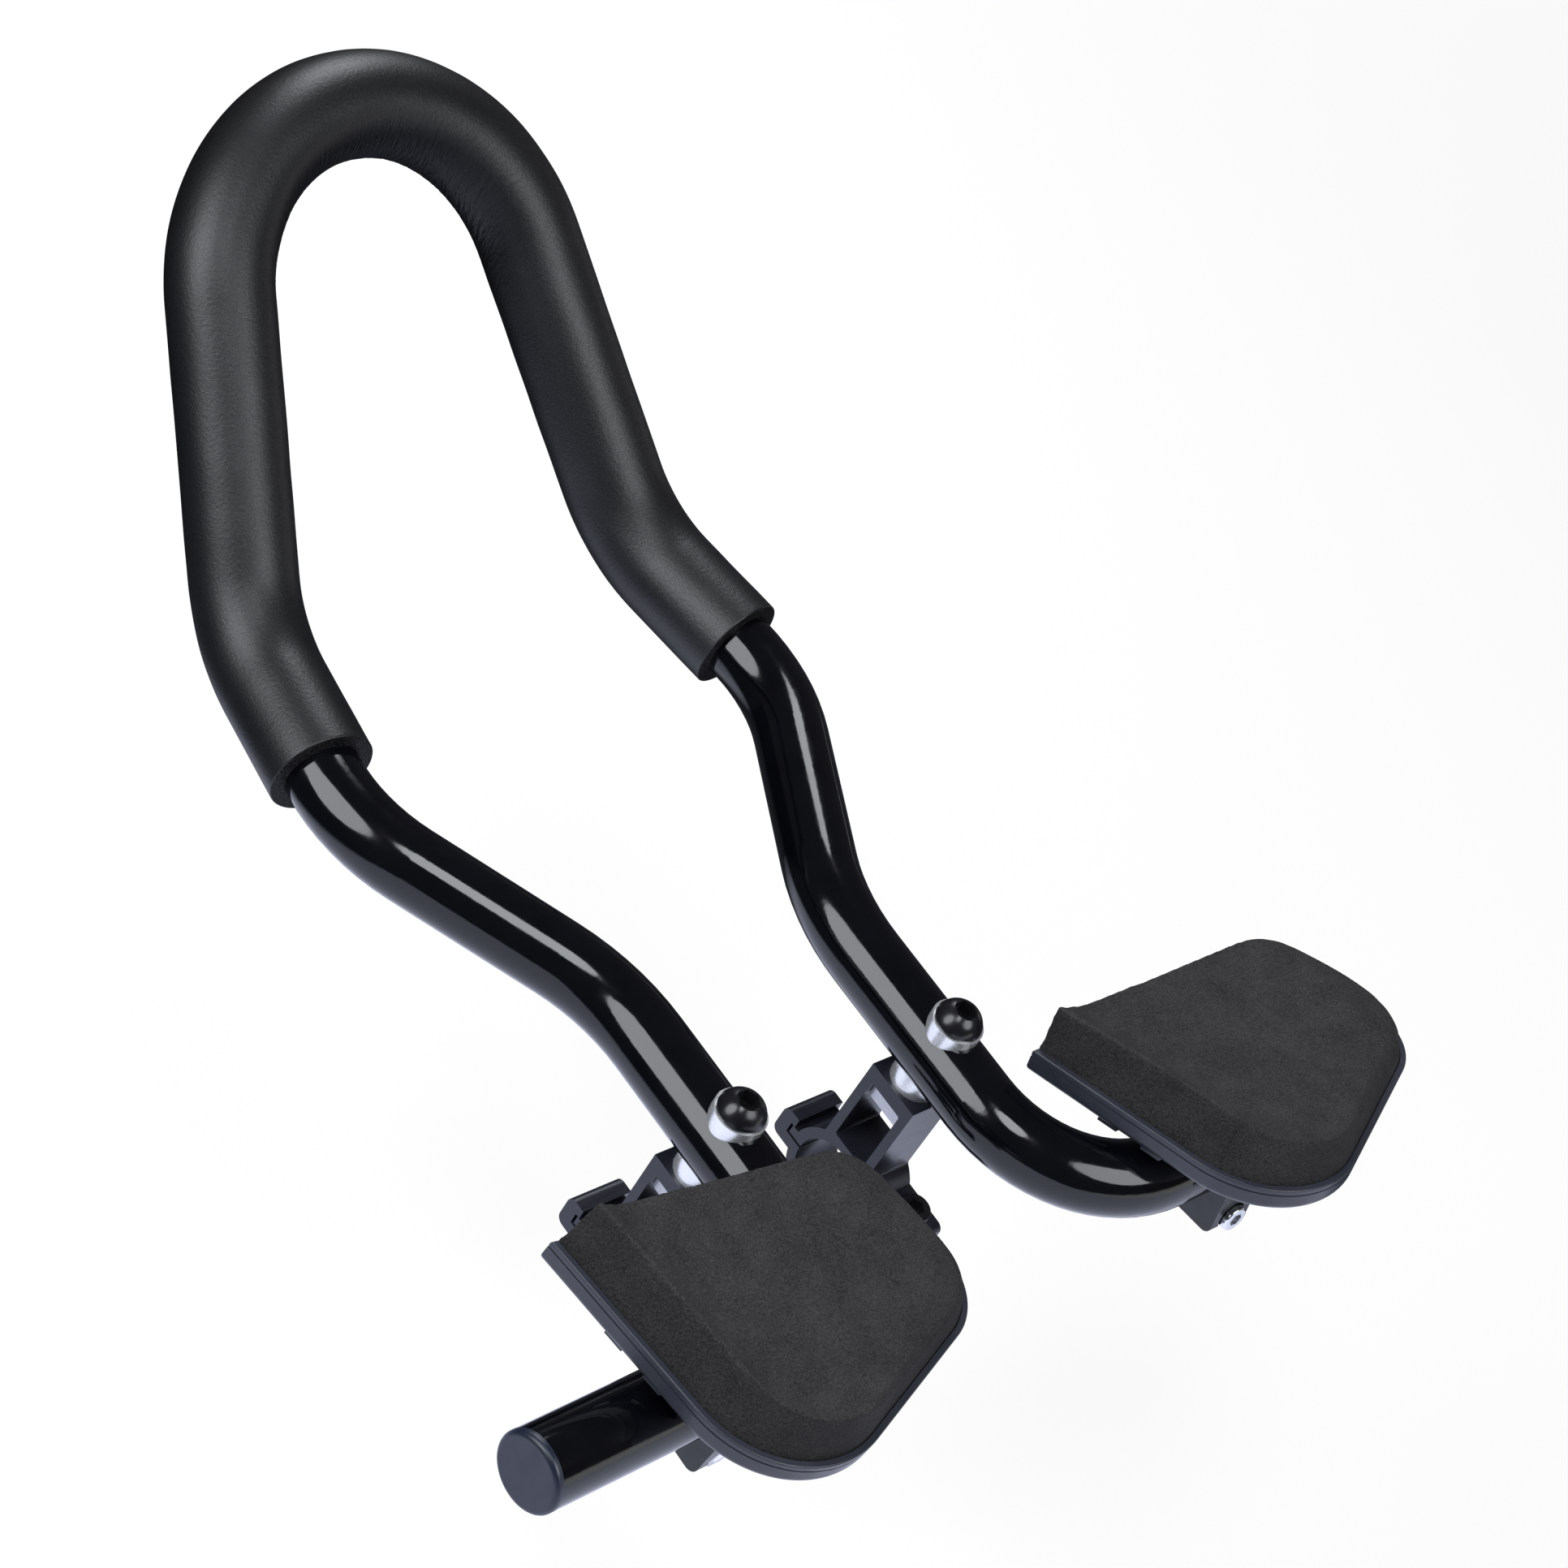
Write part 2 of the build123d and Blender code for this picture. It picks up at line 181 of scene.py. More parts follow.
def mixed_share(tree, first, second, share):
    """A fixed share of the second value in the first."""
    node = tree.nodes.new("ShaderNodeMix")
    node.inputs["Factor"].default_value = share
    tree.links.new(first, node.inputs["A"])
    tree.links.new(second, node.inputs["B"])
    return node.outputs["Result"]


def mixed_colour(tree, share, first, second):
    """A colour from the first to the second by a linked share; each is a fixed colour or a linked one."""
    node = tree.nodes.new("ShaderNodeMix")
    node.data_type = "RGBA"
    tree.links.new(share, node.inputs["Factor"])
    for socket, colour in (("A", first), ("B", second)):
        if isinstance(colour, tuple):
            node.inputs[socket].default_value = colour
        else:
            tree.links.new(colour, node.inputs[socket])
    return node.outputs["Result"]


def bumped(tree, shader, height, distance, strength=1.0, under=None):
    """Adds relief of that height in metres to the shader, on top of earlier relief."""
    node = tree.nodes.new("ShaderNodeBump")
    node.inputs["Strength"].default_value = strength
    node.inputs["Distance"].default_value = distance
    tree.links.new(height, node.inputs["Height"])
    if under is not None:
        tree.links.new(under, node.inputs["Normal"])
    tree.links.new(node.outputs["Normal"], shader.inputs["Normal"])
    return node.outputs["Normal"]


def gloss_black(name, dark, light, rough):
    """Gloss coat with a faint orange peel and slight cloudiness."""
    mat, tree, shader, coords = principled(name)
    cloud = grain(tree, coords, scale=60.0)
    tree.links.new(tint(tree, cloud, dark, light), shader.inputs["Base Color"])
    patches = grain(tree, coords, scale=140.0)
    tree.links.new(spread(tree, patches, *rough), shader.inputs["Roughness"])
    peel = grain(tree, coords, scale=420.0, detail=1.0)
    bumped(tree, shader, peel, distance=0.00004, strength=0.35)
    return mat


def satin_plastic(name, dark, light, rough, grain_scale, relief):
    """Moulded plastic with a fine spark-eroded grain."""
    mat, tree, shader, coords = principled(name)
    cloud = grain(tree, coords, scale=35.0)
    tree.links.new(tint(tree, cloud, dark, light), shader.inputs["Base Color"])
    patches = grain(tree, coords, scale=220.0)
    tree.links.new(spread(tree, patches, *rough), shader.inputs["Roughness"])
    eroded = grain(tree, coords, scale=grain_scale, detail=2.0)
    bumped(tree, shader, eroded, distance=relief, strength=0.6)
    return mat


def drawn_metal(name, dark, light, metal, rough, line_scale, relief):
    """Metal with fine lines along the direction it was drawn or turned in."""
    mat, tree, shader, coords = principled(name)
    lines = grain(tree, stretched(tree, coords, line_scale), scale=1.0, detail=3.0)
    tree.links.new(tint(tree, lines, dark, light), shader.inputs["Base Color"])
    tree.links.new(spread(tree, lines, *rough), shader.inputs["Roughness"])
    shader.inputs["Metallic"].default_value = metal
    bumped(tree, shader, lines, distance=relief, strength=0.5)
    return mat


def facing_rear(tree):
    """1 where the surface faces the rear."""
    surface = tree.nodes.new("ShaderNodeNewGeometry")
    forward = parts_of(tree, surface.outputs["True Normal"])["Y"]
    return spread(tree, forward, low=1.0, high=0.0, low_at=-0.80, high_at=-0.60)


def behind(tree, coords, level, fade):
    """1 behind that level on the Y axis, 0 ahead of it."""
    forward = parts_of(tree, coords)["Y"]
    return spread(tree, forward, low=1.0, high=0.0, low_at=level, high_at=level + fade)


# Wrinkles inside the loop: how many in a radian of turn, and in a metre of height
WRINKLE_SCALE = (34.0, 150.0, 1.0)


def loop_inside(tree, coords):
    """A mask of the inside of the loop's bend, and short wrinkles across the foam there."""
    reach = vector_step(tree, "SUBTRACT", coords, LOOP_MIDDLE).outputs["Vector"]
    parts = parts_of(tree, reach)
    turn = number_step(tree, "ARCTAN2", parts["X"], parts["Y"])
    across = tree.nodes.new("ShaderNodeCombineXYZ")
    tree.links.new(turn, across.inputs["X"])
    tree.links.new(parts["Z"], across.inputs["Y"])
    lines = grain(tree, stretched(tree, across.outputs["Vector"], WRINKLE_SCALE), scale=1.0, detail=2.0)
    surface = tree.nodes.new("ShaderNodeNewGeometry")
    outward = vector_step(tree, "NORMALIZE", reach).outputs["Vector"]
    facing_out = vector_step(tree, "DOT_PRODUCT", surface.outputs["Normal"], outward).outputs["Value"]
    front = spread(tree, parts["Y"], low=0.0, high=1.0, low_at=-0.02, high_at=0.02)
    inner = spread(tree, facing_out, low=1.0, high=0.0, low_at=-0.45, high_at=0.20)
    mask = product(tree, inner, front)
    return mask, product(tree, product(tree, mask, mask), lines)


def grip_foam():
    """Skinned closed-cell foam: fine pebble, soft sheen, open cells on the cut ends, wrinkles in the loop."""
    mat, tree, shader, coords = principled("grip_foam")
    cloud = grain(tree, coords, scale=45.0)
    skin_colour = tint(tree, cloud, dark=(0.0026, 0.0028, 0.0034), light=(0.0050, 0.0053, 0.0063))
    fine = grain(tree, coords, scale=2600.0, detail=3.0)
    tree.links.new(spread(tree, fine, low=0.37, high=0.49), shader.inputs["Roughness"])
    coarse = grain(tree, coords, scale=900.0, detail=2.0)
    pebble = bumped(tree, shader, coarse, distance=0.00014, strength=0.6)
    skin = bumped(tree, shader, fine, distance=0.00007, strength=0.6, under=pebble)
    cut = product(tree, facing_rear(tree), behind(tree, coords, CUT_ENDS_Y, CUT_ENDS_FADE))
    in_loop, wrinkles = loop_inside(tree, coords)
    cut_gloss = spread(tree, cut, low=0.55, high=0.10, low_at=0.0, high_at=1.0)
    loop_gloss = spread(tree, in_loop, low=1.0, high=0.36, low_at=0.0, high_at=1.0)
    tree.links.new(product(tree, cut_gloss, loop_gloss), shader.inputs["Specular IOR Level"])
    cells = grain(tree, coords, scale=1500.0, detail=4.0, rough=0.7)
    cell_colour = tint(
        tree, cells, dark=(0.0020, 0.0020, 0.0022), light=(0.052, 0.052, 0.054), low_at=0.48, high_at=0.68)
    tree.links.new(mixed_colour(tree, cut, skin_colour, cell_colour), shader.inputs["Base Color"])
    cut_face = bumped(tree, shader, product(tree, cut, cells), distance=0.0016, strength=0.9, under=skin)
    bumped(tree, shader, wrinkles, distance=0.0011, strength=0.8, under=cut_face)
    return mat


def pad_foam():
    """Cut foam: mottled grain on top, coarser open cells on the sloped side band."""
    mat, tree, shader, coords = principled("pad_foam")
    fine = grain(tree, coords, scale=1700.0, detail=5.0, rough=0.8)
    blotch = grain(tree, coords, scale=90.0, detail=3.0)
    speckle = mixed_share(tree, fine, blotch, share=0.15)
    colour = tint(
        tree, speckle, dark=(0.0050, 0.0048, 0.0049), light=(0.0450, 0.0432, 0.0434),
        low_at=0.41, high_at=0.61)
    tree.links.new(colour, shader.inputs["Base Color"])
    tree.links.new(spread(tree, fine, low=0.75, high=0.92), shader.inputs["Roughness"])
    shader.inputs["Specular IOR Level"].default_value = 0.3
    surface = tree.nodes.new("ShaderNodeNewGeometry")
    upward = parts_of(tree, surface.outputs["Normal"])["Z"]
    band = spread(tree, upward, low=1.0, high=0.15, low_at=0.55, high_at=0.85)
    cells = product(tree, band, grain(tree, coords, scale=750.0, detail=4.0, rough=0.65))
    base = bumped(tree, shader, cells, distance=0.0014, strength=0.8)
    bumped(tree, shader, fine, distance=0.0003, strength=0.7, under=base)
    return mat


# Materials by the record's slots; the lines of drawn and turned metal are given in features for each metre
ALONG_X = (60.0, 3800.0, 3800.0)
ROUND_Z = (300.0, 300.0, 3500.0)
looks = {
    "gloss_black_paint": gloss_black(
        "gloss_black_paint", dark=(0.0012, 0.0014, 0.0022), light=(0.0022, 0.0025, 0.0038),
        rough=(0.07, 0.12)),
    "grip_foam": grip_foam(),
    "cap_plastic": satin_plastic(
        "cap_plastic", dark=(0.006, 0.010, 0.023), light=(0.012, 0.017, 0.036), rough=(0.32, 0.42),
        grain_scale=1600.0, relief=0.00004),
    "black_anodised": drawn_metal(
        "black_anodised", dark=(0.017, 0.018, 0.026), light=(0.023, 0.0245, 0.036), metal=0.3,
        rough=(0.26, 0.34), line_scale=ALONG_X, relief=0.00001),
    "chrome_ring": drawn_metal(
        "chrome_ring", dark=(0.78, 0.79, 0.81), light=(0.92, 0.93, 0.95), metal=0.75,
        rough=(0.20, 0.34), line_scale=ROUND_Z, relief=0.00001),
    "plain_steel": drawn_metal(
        "plain_steel", dark=(0.36, 0.36, 0.38), light=(0.52, 0.52, 0.53), metal=1.0,
        rough=(0.25, 0.40), line_scale=ROUND_Z, relief=0.00002),
    "black_bolt": gloss_black(
        "black_bolt", dark=(0.005, 0.005, 0.006), light=(0.009, 0.009, 0.011), rough=(0.20, 0.30)),
    "bracket_plastic": satin_plastic(
        "bracket_plastic", dark=(0.014, 0.015, 0.018), light=(0.022, 0.0235, 0.028), rough=(0.32, 0.44),
        grain_scale=1400.0, relief=0.00004),
    "bright_screw": drawn_metal(
        "bright_screw", dark=(0.66, 0.67, 0.68), light=(0.82, 0.83, 0.84), metal=1.0,
        rough=(0.12, 0.24), line_scale=ROUND_Z, relief=0.00001),
    "cup_plastic": satin_plastic(
        "cup_plastic", dark=(0.023, 0.025, 0.035), light=(0.033, 0.036, 0.049), rough=(0.30, 0.42),
        grain_scale=1300.0, relief=0.00005),
    "pad_foam": pad_foam(),
}
slot_of = {row["node"]: row["material_slot"] for row in frame["record"]["subparts"]}


def dress(obj, slot):
    """Gives the object its slot's material."""
    obj.data.materials.clear()
    obj.data.materials.append(looks[slot])


for name, obj in nodes.items():
    dress(obj, slot_of[name])


def piece_from(name, node):
    """A new object whose mesh starts as a copy of the node's."""
    mesh = nodes[node].data.copy()
    obj = bpy.data.objects.new(name, mesh)
    bpy.context.scene.collection.objects.link(obj)
    return obj


def settle(obj):
    """Puts the result of the object's modifiers into its mesh."""
    graph = bpy.context.evaluated_depsgraph_get()
    mesh = bpy.data.meshes.new_from_object(obj.evaluated_get(graph))
    obj.modifiers.clear()
    obj.data = mesh


def remeshed(obj, voxel, rounds):
    """Even quads over the shape, with its corners eased."""
    step = obj.modifiers.new("even", "REMESH")
    step.mode = "VOXEL"
    step.voxel_size = voxel
    ease = obj.modifiers.new("ease", "SMOOTH")
    ease.factor = 0.5
    ease.iterations = rounds
    settle(obj)
    for face in obj.data.polygons:
        face.use_smooth = True


def stands_for(obj, node):
    """The finished soft piece takes the node's place, slot and body."""
    dress(obj, slot_of[node])
    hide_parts(node)
    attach(obj, "root")


def clamped(value):
    """The value held between 0 and 1."""
    return min(1.0, max(0.0, value))


def smooth_step(value, start, end):
    """Rises from 0 at the start to 1 at the end, flat at both."""
    share = clamped((value - start) / (end - start))
    return share * share * (3.0 - 2.0 * share)


# Foam grip: rings along the bent path, out over the skin and back through the bore, in millimetres
RING_STEP = 0.7
BORE_STRIDE = 5
AROUND = 84
FACE_SHARES = (0.0, 0.1, 0.5, 0.9)
EDGE_STEPS = 4
SHARP_ANGLE = 50.0

# Relief of the foam's skin: heights in millimetres, noise scales for each metre or radian
RIPPLE = 0.12
RIPPLE_SCALE = 70.0
CREASE = 0.40
CREASE_TURN_SCALE = 30.0
CREASE_HEIGHT_SCALE = 167.0
CREASE_LAYER = 3.0
CREASE_DEEPEST = 0.45
CREASE_STEEPNESS = 2.2
CREASE_NARROWING = 1.5
CREASE_FADE = 0.03


def mirrored(point):
    """The same place on the left."""
    return Vector((-point.x, point.y, point.z))


def bend_of(before, corner, after, radius):
    """Where a bend starts, its middle, the axis that it turns about and its angle."""
    back = (before - corner).normalized()
    ahead = (after - corner).normalized()
    half = back.angle(ahead) / 2.0
    start = corner + back * (radius / math.tan(half))
    middle = corner + (back + ahead).normalized() * (radius / math.sin(half))
    return start, middle, ahead.cross(back).normalized(), math.pi - 2.0 * half


def straight_run(start, end):
    """Places along a straight run with the way it goes, without its end."""
    count = math.ceil((end - start).length / RING_STEP)
    way = (end - start).normalized()
    return [(start.lerp(end, index / count), way) for index in range(count)]


def bent_path(corners, radii):
    """Places along straight runs joined by tangent bends, with the way the path goes at each."""
    places = []
    at = corners[0]
    for before, corner, after, radius in zip(corners, corners[1:], corners[2:], radii):
        start, middle, axis, angle = bend_of(before, corner, after, radius)
        places += straight_run(at, start)
        count = math.ceil(angle * radius / RING_STEP)
        for index in range(count):
            arm = Matrix.Rotation(angle * index / count, 3, axis) @ (start - middle)
            places.append((middle + arm, axis.cross(arm).normalized()))
        at = middle + Matrix.Rotation(angle, 3, axis) @ (start - middle)
    places += straight_run(at, corners[-1])
    places.append((corners[-1], (corners[-1] - at).normalized()))
    return places


def without_twist(places):
    """Adds a direction across the path to each place, carried along without twisting."""
    side = places[0][1].orthogonal().normalized()
    before = places[0][1]
    framed = []
    for point, way in places:
        side = before.rotation_difference(way) @ side
        framed.append((point, way, side))
        before = way
    return framed


def end_steps():
    """Depth and radius of the rings at a cut end, from the bore over the rounded edge to the skin."""
    face_width = FOAM_RADIUS - FOAM_EDGE - FOAM_BORE
    steps = [(0.0, FOAM_BORE + face_width * share) for share in FACE_SHARES]
    for index in range(EDGE_STEPS + 1):
        turn = math.pi / 2.0 * (1.0 - index / EDGE_STEPS)
        lost = FOAM_EDGE * (1.0 - math.cos(turn))
        steps.append((FOAM_EDGE * (1.0 - math.sin(turn)), FOAM_RADIUS - lost))
    return steps


def end_rings(place, inward):
    """The rings of a cut end, from bore to skin; inward is 1 at the path's start and -1 at its end."""
    point, way, side = place
    return [(point + way * (inward * depth), way, side, radius) for depth, radius in end_steps()]


def skin_rise(spot, outward):
    """Height of the skin at a place: a slow ripple, with short creases on the inside of the loop."""
    at = spot * MM
    inward = (LOOP_MIDDLE - at).normalized()
    facing = max(0.0, outward.dot(inward))
    front = clamped((at.y - LOOP_FRONT_Y) / CREASE_FADE)
    angle = math.atan2(at.x - LOOP_MIDDLE.x, at.y - LOOP_MIDDLE.y)
    lines = noise.noise(Vector((angle * CREASE_TURN_SCALE, at.z * CREASE_HEIGHT_SCALE, CREASE_LAYER)))
    sharp = max(0.0, CREASE_DEEPEST - abs(lines) * CREASE_STEEPNESS)
    ripple = noise.noise(at * RIPPLE_SCALE) * RIPPLE
    return ripple - sharp * CREASE * front * facing ** CREASE_NARROWING


def foam_sleeve():
    """The grip's mesh."""
    lead = (SHOULDER - WRIST).normalized()
    half = lead.angle(LOOP_CORNER - WRIST) / 2.0
    foam_end = WRIST + lead * (WRIST_BEND / math.tan(half) + FOAM_LEAD)
    right = [foam_end, WRIST, LOOP_CORNER]
    corners = [mirrored(point) for point in right] + right[::-1]
    places = without_twist(bent_path(corners, [WRIST_BEND, LOOP_BEND, LOOP_BEND, WRIST_BEND]))
    rings = end_rings(places[0], 1.0)
    rings += [place + (FOAM_RADIUS,) for place in places[1:-1]]
    rings += reversed(end_rings(places[-1], -1.0))
    rings += [place + (FOAM_BORE,) for place in places[-1 - BORE_STRIDE:0:-BORE_STRIDE]]
    points = []
    for middle, way, side, radius in rings:
        up = way.cross(side)
        for index in range(AROUND):
            turn = 2.0 * math.pi * index / AROUND
            outward = side * math.cos(turn) + up * math.sin(turn)
            size = radius
            if radius == FOAM_RADIUS:
                size += skin_rise(middle + outward * radius, outward)
            points.append((middle + outward * size) * MM)
    faces = []
    for ring in range(len(rings)):
        here = ring * AROUND
        ahead = (ring + 1) % len(rings) * AROUND
        for index in range(AROUND):
            beside = (index + 1) % AROUND
            faces.append((here + index, here + beside, ahead + beside, ahead + index))
    mesh = bpy.data.meshes.new("grip_foam_sleeve")
    mesh.from_pydata(points, [], faces)
    mesh.polygons.foreach_set("use_smooth", [True] * len(faces))
    mesh.set_sharp_from_angle(angle=math.radians(SHARP_ANGLE))
    return mesh


grip = bpy.data.objects.new("grip_foam_sleeve", foam_sleeve())
bpy.context.scene.collection.objects.link(grip)
stands_for(grip, "foam_grip")


def cup_frame(side):
    """The matrix from an armrest cup's own millimetres to metres in the shared frame."""
    sign = SIGN[side]
    corner = Vector((sign * TAIL_CORNER.x, TAIL_CORNER.y, TAIL_CORNER.z))
    end = Vector((sign * TAIL_END.x, TAIL_END.y, TAIL_END.z))
    outward = (end - corner).normalized()
    x_axis = outward * sign
    y_axis = (Vector((0.0, 1.0, 0.0)) - x_axis * x_axis.y).normalized()
    place = Matrix.Translation(corner + outward * ALONG[side])
    turn = Matrix((x_axis, y_axis, x_axis.cross(y_axis))).transposed().to_4x4()
    tilt = Matrix.Rotation(math.radians(PITCH[side]), 4, "X")
    screw = Matrix.Translation((SCREW_X[side], 0.0, DECK_TOP))
    yaw = Matrix.Rotation(math.radians(YAW[side]), 4, "Z")
    return Matrix.Scale(MM, 4) @ place @ turn @ tilt @ screw @ yaw


def inside(spot, start, end):
    """How far a spot in the plan lies inside the edge from start to end."""
    run = (end - start).normalized()
    gap = spot - start
    return run.y * gap.x - run.x * gap.y


def rounded_depth(first, second, radius):
    """Depth from two edges that meet in a rounded corner."""
    if first < radius and second < radius:
        return radius - math.hypot(radius - first, radius - second)
    return min(first, second)


# Pads: even quads at a slant to the edges, so that no edge shows their steps
PAD_VOXEL = 0.8
PAD_ROUNDS = 9
OBLIQUE = Matrix.Rotation(math.radians(38.0), 4, "Z")

# Pads in millimetres: a raised ridge with a fold on the left that dies away towards the right
LIP_RISE = 3.4
LIP_WIDTH = 6.5
LIP_POWER = 1.4
LIP_FULL_X = -12.0
LIP_GONE_X = 40.0
FOLD_RISE = 0.9
FOLD_WIDTH = 1.5
FOLD_AT = 1.0
FOLD_LOSS = 0.6

# Pads in millimetres: a soft shoulder and a bulge on the right, the tip's swing, a seam across the band
PAD_SHOULDER_DROP = 5.0
PAD_SHOULDER_WIDTH = 15.0
BULGE = {"left": 0.8, "right": 3.2}
BULGE_WIDTH = 16.0
BULGE_FULL_LEVEL = 0.5
TIP_SWING = {"left": 0.0, "right": -3.5}
TIP_LENGTH = 22.0
SEAM_DEPTH = {"left": 0.0, "right": 0.8}
SEAM_AT = 60.0
SEAM_WIDTH = 0.9
SEAM_START = -1.0
SEAM_FULL = 0.5


def soft_place(spot, side):
    """A point of the pad in the cup's frame, moved to its soft shape; what lies in the cup stays."""
    level = (spot.z - CUP_HEIGHT) / (PAD_HEIGHT - CUP_HEIGHT)
    if level <= 0.0:
        return spot
    plan = spot.to_2d()
    left = inside(plan, REAR_LEFT, FRONT_LEFT)
    rear = inside(plan, REAR_RIGHT, REAR_LEFT)
    right = inside(plan, FRONT_RIGHT, REAR_RIGHT)
    ridge = rounded_depth(left, rear, REAR_LEFT_ROUND) - RIDGE_INSET
    shoulder = rounded_depth(rear, right, REAR_RIGHT_ROUND) - RIDGE_INSET
    rightward = smooth_step(plan.x, LIP_FULL_X, LIP_GONE_X)
    crest = math.exp(-(max(0.0, ridge) / LIP_WIDTH) ** LIP_POWER)
    lip = LIP_RISE * (1.0 - rightward) * crest
    fold = FOLD_RISE * (1.0 - FOLD_LOSS * rightward) * math.exp(-((ridge - FOLD_AT) / FOLD_WIDTH) ** 2)
    bend = clamped(1.0 - max(0.0, shoulder) / PAD_SHOULDER_WIDTH)
    fall = PAD_SHOULDER_DROP * rightward * (1.0 - math.sqrt(1.0 - bend * bend))
    spot.z += level * (lip + fold - fall)
    tip = math.exp(-((FRONT_LEFT.y - plan.y) / TIP_LENGTH) ** 2)
    spot.x += TIP_SWING[side] * level * tip * crest
    middle = (FRONT_RIGHT.y + REAR_RIGHT.y) / 2.0
    bow = math.exp(-((plan.y - middle) / BULGE_WIDTH) ** 2 - (max(0.0, right) / BULGE_WIDTH) ** 2)
    spot.x += BULGE[side] * min(1.0, level / BULGE_FULL_LEVEL) * bow
    along = (plan - FRONT_LEFT).dot((REAR_LEFT - FRONT_LEFT).normalized())
    seam = math.exp(-((along - SEAM_AT) / SEAM_WIDTH) ** 2) * smooth_step(-ridge, SEAM_START, SEAM_FULL)
    spot.x += SEAM_DEPTH[side] * seam
    return spot


for side in ("left", "right"):
    node = f"{side}_armrest_pad"
    pad = piece_from(f"{side}_foam_pad", node)
    to_world = cup_frame(side)
    pad.data.transform(OBLIQUE @ to_world.inverted())
    remeshed(pad, PAD_VOXEL, PAD_ROUNDS)
    pad.data.transform(OBLIQUE.inverted())
    for vertex in pad.data.vertices:
        vertex.co = soft_place(vertex.co.copy(), side)
    pad.data.transform(to_world)
    stands_for(pad, node)

# Floor: white to the camera with a faint shadow near the object, bright in reflections up to two lines
FLOOR_Z = -0.16
FLOOR_HALF = 6.0
FLOOR_MIRRORED = 1.38
FLOOR_DARK = 0.04
WHITE_FADE = 0.07
WHITE_LIMITS = [(Vector((-0.415, 0.910, 0.0)), 0.29), (Vector((0.80, 0.60, 0.0)), 0.12)]
FLOOR_TINT = (0.76, 0.80, 1.0, 1.0)
FLOOR_COLOUR = (0.42, 0.42, 0.44, 1.0)
FLOOR_SEEN = (0.93, 0.90, 0.86, 1.0)
SHADOW_SHARE = 0.35
SHADOW_NEAR = 0.9
SHADOW_FAR = 1.6


def floor_material():
    """A diffuse floor for light and shadow, covered by its own white for the camera and for reflections."""
    mat = bpy.data.materials.new("floor")
    mat.use_nodes = True
    tree = mat.node_tree
    tree.nodes.clear()
    path = tree.nodes.new("ShaderNodeLightPath")
    place = tree.nodes.new("ShaderNodeTexCoord").outputs["Object"]
    reflected = path.outputs["Is Glossy Ray"]
    seen = larger(tree, path.outputs["Is Camera Ray"], path.outputs["Is Transmission Ray"])

    glow = tree.nodes.new("ShaderNodeEmission")
    bright = reflected
    for way, limit in WHITE_LIMITS:
        reach = vector_step(tree, "DOT_PRODUCT", place, way).outputs["Value"]
        bright = product(tree, bright, spread(tree, reach, 1.0, FLOOR_DARK, limit, limit + WHITE_FADE))
    strength = tree.nodes.new("ShaderNodeMath")
    strength.operation = "MULTIPLY_ADD"
    strength.inputs[1].default_value = FLOOR_MIRRORED
    tree.links.new(bright, strength.inputs[0])
    tree.links.new(seen, strength.inputs[2])
    tree.links.new(strength.outputs["Value"], glow.inputs["Strength"])
    tree.links.new(mixed_colour(tree, reflected, WHITE, FLOOR_TINT), glow.inputs["Color"])

    plain = tree.nodes.new("ShaderNodeBsdfDiffuse")
    plain_colour = mixed_colour(tree, path.outputs["Is Camera Ray"], FLOOR_COLOUR, FLOOR_SEEN)
    tree.links.new(plain_colour, plain.inputs["Color"])

    distance = vector_step(tree, "LENGTH", place).outputs["Value"]
    cover = spread(tree, distance, 1.0 - SHADOW_SHARE, 1.0, SHADOW_NEAR, SHADOW_FAR)
    mix = tree.nodes.new("ShaderNodeMixShader")
    tree.links.new(larger(tree, product(tree, seen, cover), reflected), mix.inputs["Fac"])
    tree.links.new(plain.outputs["BSDF"], mix.inputs[1])
    tree.links.new(glow.outputs["Emission"], mix.inputs[2])
    out = tree.nodes.new("ShaderNodeOutputMaterial")
    tree.links.new(mix.outputs["Shader"], out.inputs["Surface"])
    return mat


floor_mesh = bpy.data.meshes.new("floor")
floor_corners = [(x, y, FLOOR_Z) for x in (-FLOOR_HALF, FLOOR_HALF) for y in (-FLOOR_HALF, FLOOR_HALF)]
floor_mesh.from_pydata(floor_corners, [], [(0, 2, 3, 1)])
floor = bpy.data.objects.new("floor", floor_mesh)
bpy.context.scene.collection.objects.link(floor)
floor.data.materials.append(floor_material())

# World: white to the camera, else dim light; in reflections a dim room with a low pale wall, right rear
AMBIENT = (0.16, 0.16, 0.17, 1.0)
ROOM_COLOUR = (0.06, 0.06, 0.065)
WALL_COLOUR = (1.3, 1.3, 1.32)
WALL_WAY = Vector((0.45, -0.60, -2.0))
WALL_START = 0.33
WALL_FULL = 0.46


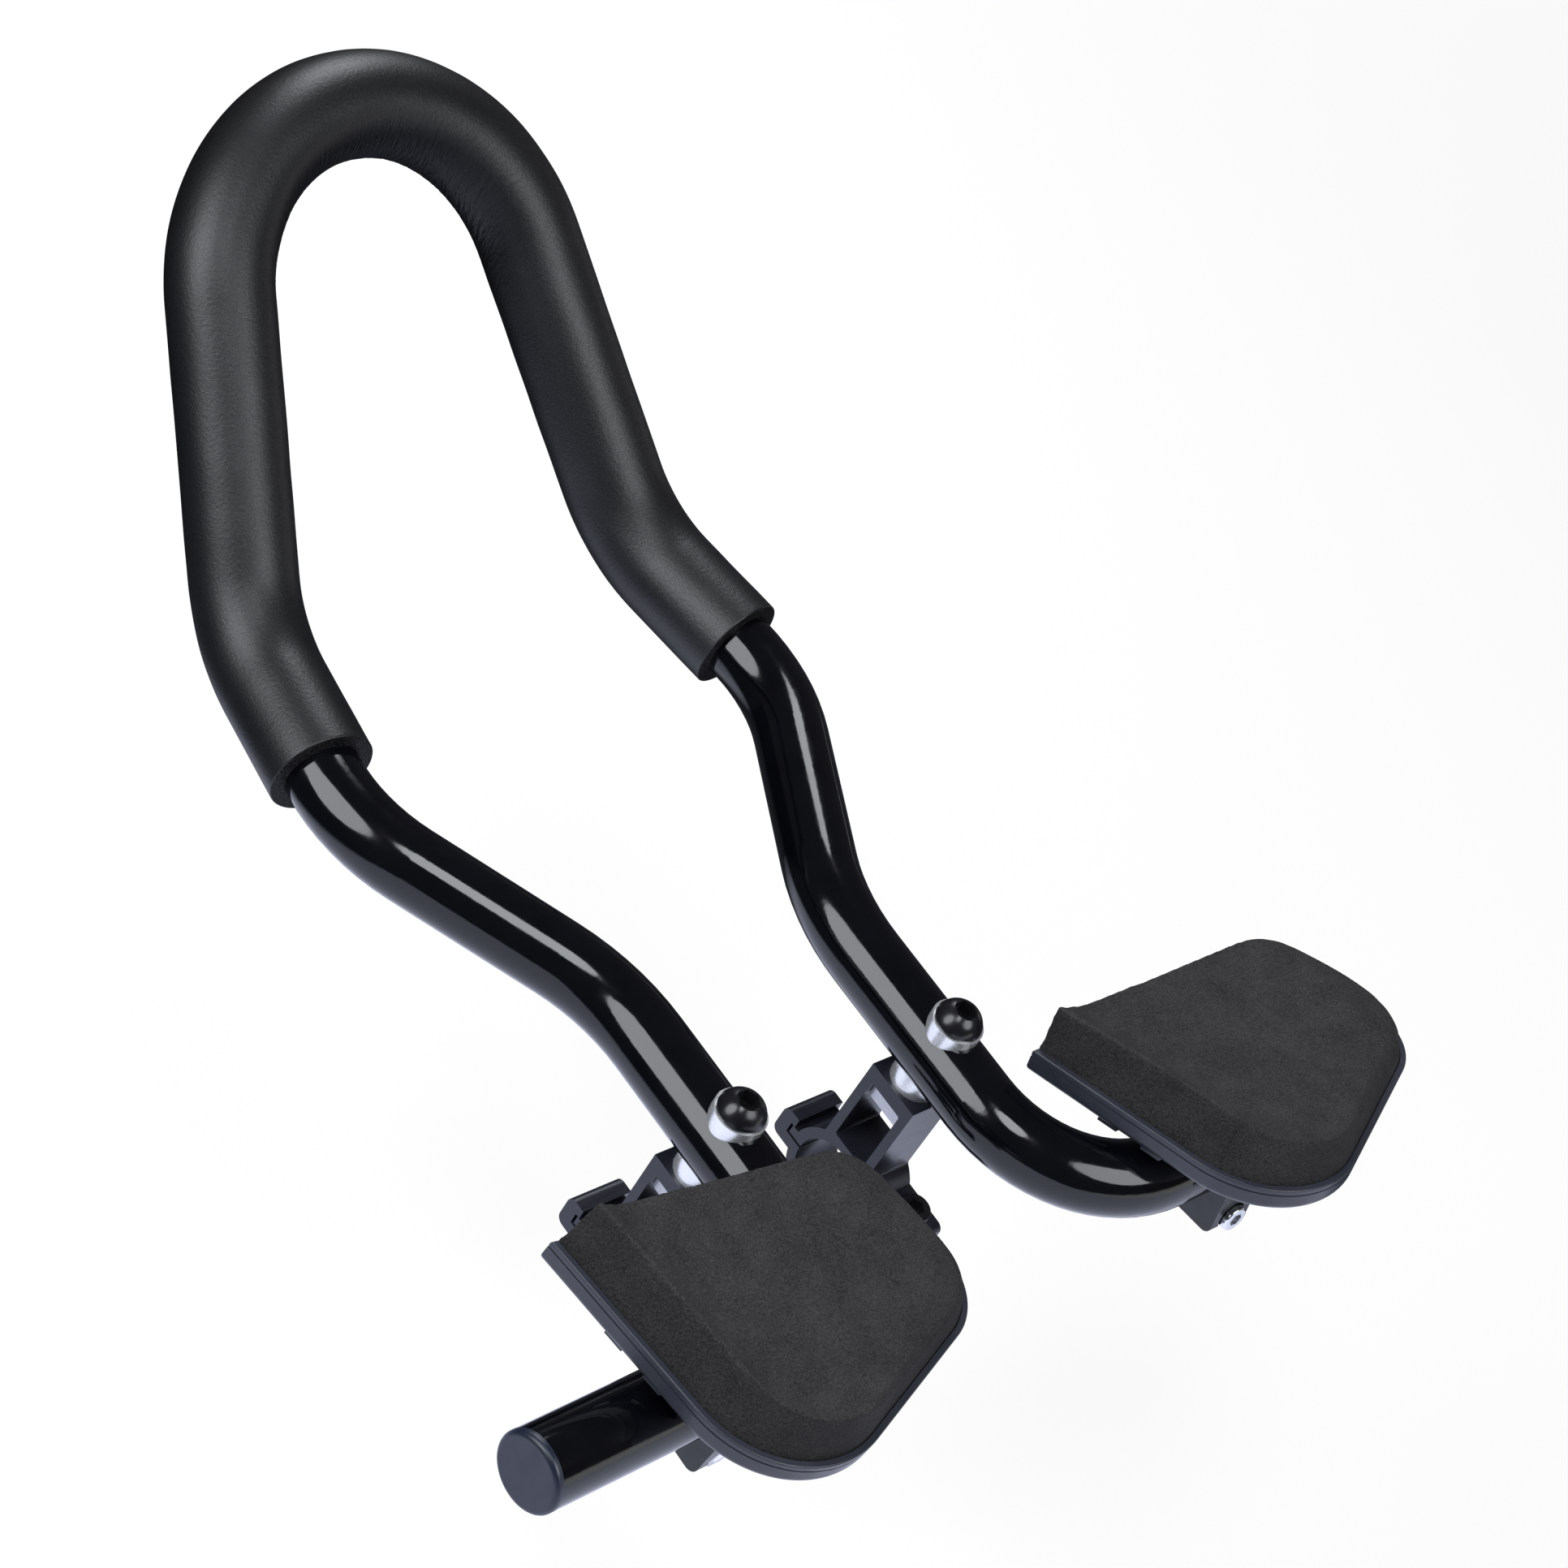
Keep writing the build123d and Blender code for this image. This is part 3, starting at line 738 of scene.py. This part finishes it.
def studio_world():
    """The world with its light and what reflections show of it."""
    world = bpy.data.worlds.new("studio")
    world.use_nodes = True
    tree = world.node_tree
    path = tree.nodes.new("ShaderNodeLightPath")
    way = tree.nodes.new("ShaderNodeTexCoord").outputs["Generated"]
    toward_wall = vector_step(tree, "DOT_PRODUCT", way, WALL_WAY).outputs["Value"]
    room = tint(tree, toward_wall, ROOM_COLOUR, WALL_COLOUR, WALL_START, WALL_FULL)
    light = mixed_colour(tree, path.outputs["Is Glossy Ray"], AMBIENT, room)
    seen = larger(tree, path.outputs["Is Camera Ray"], path.outputs["Is Transmission Ray"])
    tree.links.new(mixed_colour(tree, seen, light, WHITE), tree.nodes["Background"].inputs["Color"])
    return world


bpy.context.scene.world = studio_world()

# Softboxes, each given by its direction from the object's middle, its distance, its two sides and its power
MIDDLE = Vector((0.0, 0.12, 0.06))
LAMP_TINT = (0.93, 0.96, 1.0)


def softbox(name, way, distance, width, height, watts):
    """An oval area lamp that faces the object."""
    lamp = bpy.data.lights.new(name, "AREA")
    lamp.shape = "ELLIPSE"
    lamp.size = width
    lamp.size_y = height
    lamp.energy = watts
    lamp.color = LAMP_TINT
    obj = bpy.data.objects.new(name, lamp)
    bpy.context.scene.collection.objects.link(obj)
    obj.location = MIDDLE + Vector(way).normalized() * distance
    obj.rotation_euler = (MIDDLE - obj.location).to_track_quat("-Z", "Y").to_euler()


softbox("left", way=(-0.78, 0.31, 0.545), distance=1.6, width=1.05, height=1.45, watts=23.0)
softbox("overhead", way=(-0.34, -0.14, 0.93), distance=1.4, width=0.37, height=0.60, watts=4.6)
softbox("front_right", way=(0.42, 0.66, 0.62), distance=1.6, width=0.66, height=1.05, watts=12.0)
softbox("rear", way=(0.12, -0.68, 0.72), distance=1.6, width=1.10, height=1.00, watts=14.0)

# Camera
camera_data = bpy.data.cameras.new("camera")
camera_data.sensor_fit = "HORIZONTAL"
camera_data.sensor_width = SENSOR
camera_data.lens = LENS
camera = bpy.data.objects.new("camera", camera_data)
bpy.context.scene.collection.objects.link(camera)
back_axis = CAMERA_RIGHT.normalized().cross(CAMERA_UP.normalized())
up_axis = back_axis.cross(CAMERA_RIGHT).normalized()
camera_turn = Matrix((CAMERA_RIGHT.normalized(), up_axis, back_axis.normalized())).transposed()
camera.matrix_world = Matrix.Translation(CAMERA_AT) @ camera_turn.to_4x4()
bpy.context.scene.camera = camera
bpy.context.scene.view_settings.view_transform = "Standard"
